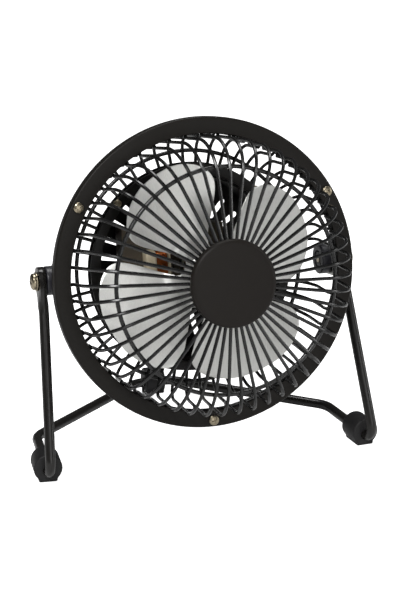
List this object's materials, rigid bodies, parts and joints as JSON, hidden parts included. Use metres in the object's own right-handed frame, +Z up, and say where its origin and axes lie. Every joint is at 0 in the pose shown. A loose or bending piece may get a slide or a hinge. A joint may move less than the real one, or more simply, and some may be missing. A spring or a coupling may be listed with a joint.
{
  "type": "desk fan",
  "caption": "Small tilting desk fan: round wire cage, twisted metal blades on a shaded-pole motor, bent tube stand with rubber feet.",
  "frame": {"origin": "middle of the whole object's footprint, on the surface the three feet stand on", "axes": "+Z up, the fan blows towards -Y, the pivots' axis is parallel to X"},
  "size_m": [0.1764, 0.1435, 0.168],
  "materials": {
    "ring_paint": "semi-gloss warm black paint on pressed steel",
    "wire_paint": "gloss black dip coat on steel wire",
    "cap_plastic": "satin brown-black moulding",
    "blade_metal": "rolled sheet with a fine brushed grain",
    "nickel": "warm nickel-plated steel screws",
    "dark_plastic": "blue-black moulded nylon",
    "tube_paint": "gloss black paint on steel tube",
    "rubber": "matt black rubber",
    "housing_paint": "satin black paint on drawn steel",
    "zinc_steel": "zinc-plated steel",
    "stack_steel": "varnished lamination stack, grey-brown",
    "copper": "enamelled copper wire",
    "bobbin_nylon": "cream moulded nylon",
    "bronze": "sintered bronze bush",
    "switch_plastic": "black moulded rocker switch"
  },
  "bodies": {
    "stand": {"stand_frame": "tube_paint", "foot_left": "rubber", "foot_right": "rubber", "foot_rear": "rubber"},
    "head": {"front_ring": "ring_paint", "front_grille": "wire_paint", "rear_grille": "wire_paint", "flange_screw_1": "nickel", "flange_screw_2": "nickel", "flange_screw_3": "nickel", "grille_clip_1": "zinc_steel", "grille_clip_2": "zinc_steel", "grille_clip_3": "zinc_steel", "front_cap": "cap_plastic", "cap_backing_plate": "wire_paint", "cap_screw": "nickel", "pivot_bracket_left": "zinc_steel", "pivot_bracket_right": "zinc_steel", "pivot_spacer_left": "dark_plastic", "pivot_spacer_right": "dark_plastic", "pivot_washer_left": "nickel", "pivot_washer_right": "nickel", "pivot_boss_left": "dark_plastic", "pivot_boss_right": "dark_plastic", "pivot_nut_left": "housing_paint", "pivot_nut_right": "housing_paint", "pivot_screw_left": "nickel", "pivot_screw_right": "nickel", "stator_frame": "stack_steel", "core_bar": "stack_steel", "shading_loop_1": "copper", "shading_loop_2": "copper", "coil_bobbin": "bobbin_nylon", "coil_winding": "copper", "bearing_bracket_front": "zinc_steel", "bearing_bracket_rear": "zinc_steel", "bearing_front": "bronze", "bearing_rear": "bronze", "motor_screw_1": "zinc_steel", "motor_screw_2": "zinc_steel", "motor_housing": "housing_paint", "housing_clamp_ring": "housing_paint", "clamp_screw_1": "nickel", "clamp_screw_2": "nickel", "clamp_screw_3": "nickel", "clamp_screw_4": "nickel", "switch_body": "switch_plastic", "cord_gland": "rubber"},
    "rotor": {"fan_blades": "blade_metal", "blade_hub": "zinc_steel", "hub_grub_screw": "zinc_steel", "blade_rivet_1": "blade_metal", "blade_rivet_2": "blade_metal", "blade_rivet_3": "blade_metal", "blade_rivet_4": "blade_metal", "rotor_shaft": "zinc_steel", "rotor_core": "stack_steel", "thrust_washer_front": "bobbin_nylon", "thrust_washer_rear": "bobbin_nylon"},
    "rocker": {"switch_rocker": "switch_plastic"}
  },
  "joints": [
    {"name": "head_tilt", "type": "hinge", "parent": "stand", "child": "head", "pos_m": [0, -0.00987, 0.091], "axis": [-1, 0, 0], "range_deg": [-53.9, 81.1]},
    {"name": "fan_spin", "type": "hinge", "parent": "head", "child": "rotor", "pos_m": [0, -0.03062, 0.09425], "axis": [0, 0.988, -0.1547], "continuous": true},
    {"name": "switch_rock", "type": "hinge", "parent": "head", "child": "rocker", "pos_m": [0.031, 0.02322, 0.08582], "axis": [-1, 0, 0], "range_deg": [0, 16]}
  ]
}
